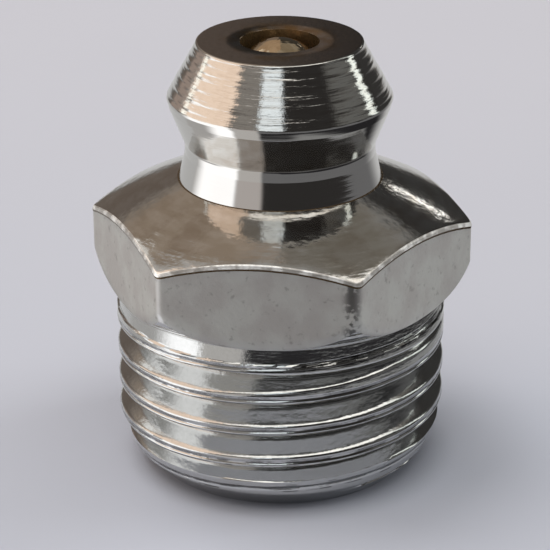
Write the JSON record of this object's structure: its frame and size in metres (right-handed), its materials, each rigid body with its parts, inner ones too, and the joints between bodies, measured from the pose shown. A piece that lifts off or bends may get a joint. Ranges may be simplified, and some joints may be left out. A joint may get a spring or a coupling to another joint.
{
  "type": "grease nipple",
  "caption": "Straight hydraulic grease nipple: threaded shank, hexagon, neck and cone head, with a spring-loaded ball check valve inside.",
  "frame": {"origin": "centre of the threaded end's flat face, on the axis of the nipple", "axes": "+Z along the axis, from the threaded end to the head; -Y is the side seen from the front, with the flats turned -7.5 degrees about Z"},
  "size_m": [0.0112, 0.0106, 0.013],
  "materials": {
    "zinc_plate": "bright zinc plate over turned steel",
    "ball_brass": "dull, slightly oily brass",
    "spring_wire": "drawn steel wire"
  },
  "bodies": {
    "nipple": {"body": "zinc_plate", "spring": "spring_wire"},
    "valve": {"ball": "ball_brass"}
  },
  "joints": [
    {"name": "ball_press", "type": "slide", "parent": "nipple", "child": "valve", "axis": [0, 0, -1], "range_m": [0, 0.001], "stiffness_N_per_m": 800, "springref_m": -0.001, "deforming": ["spring"]}
  ]
}
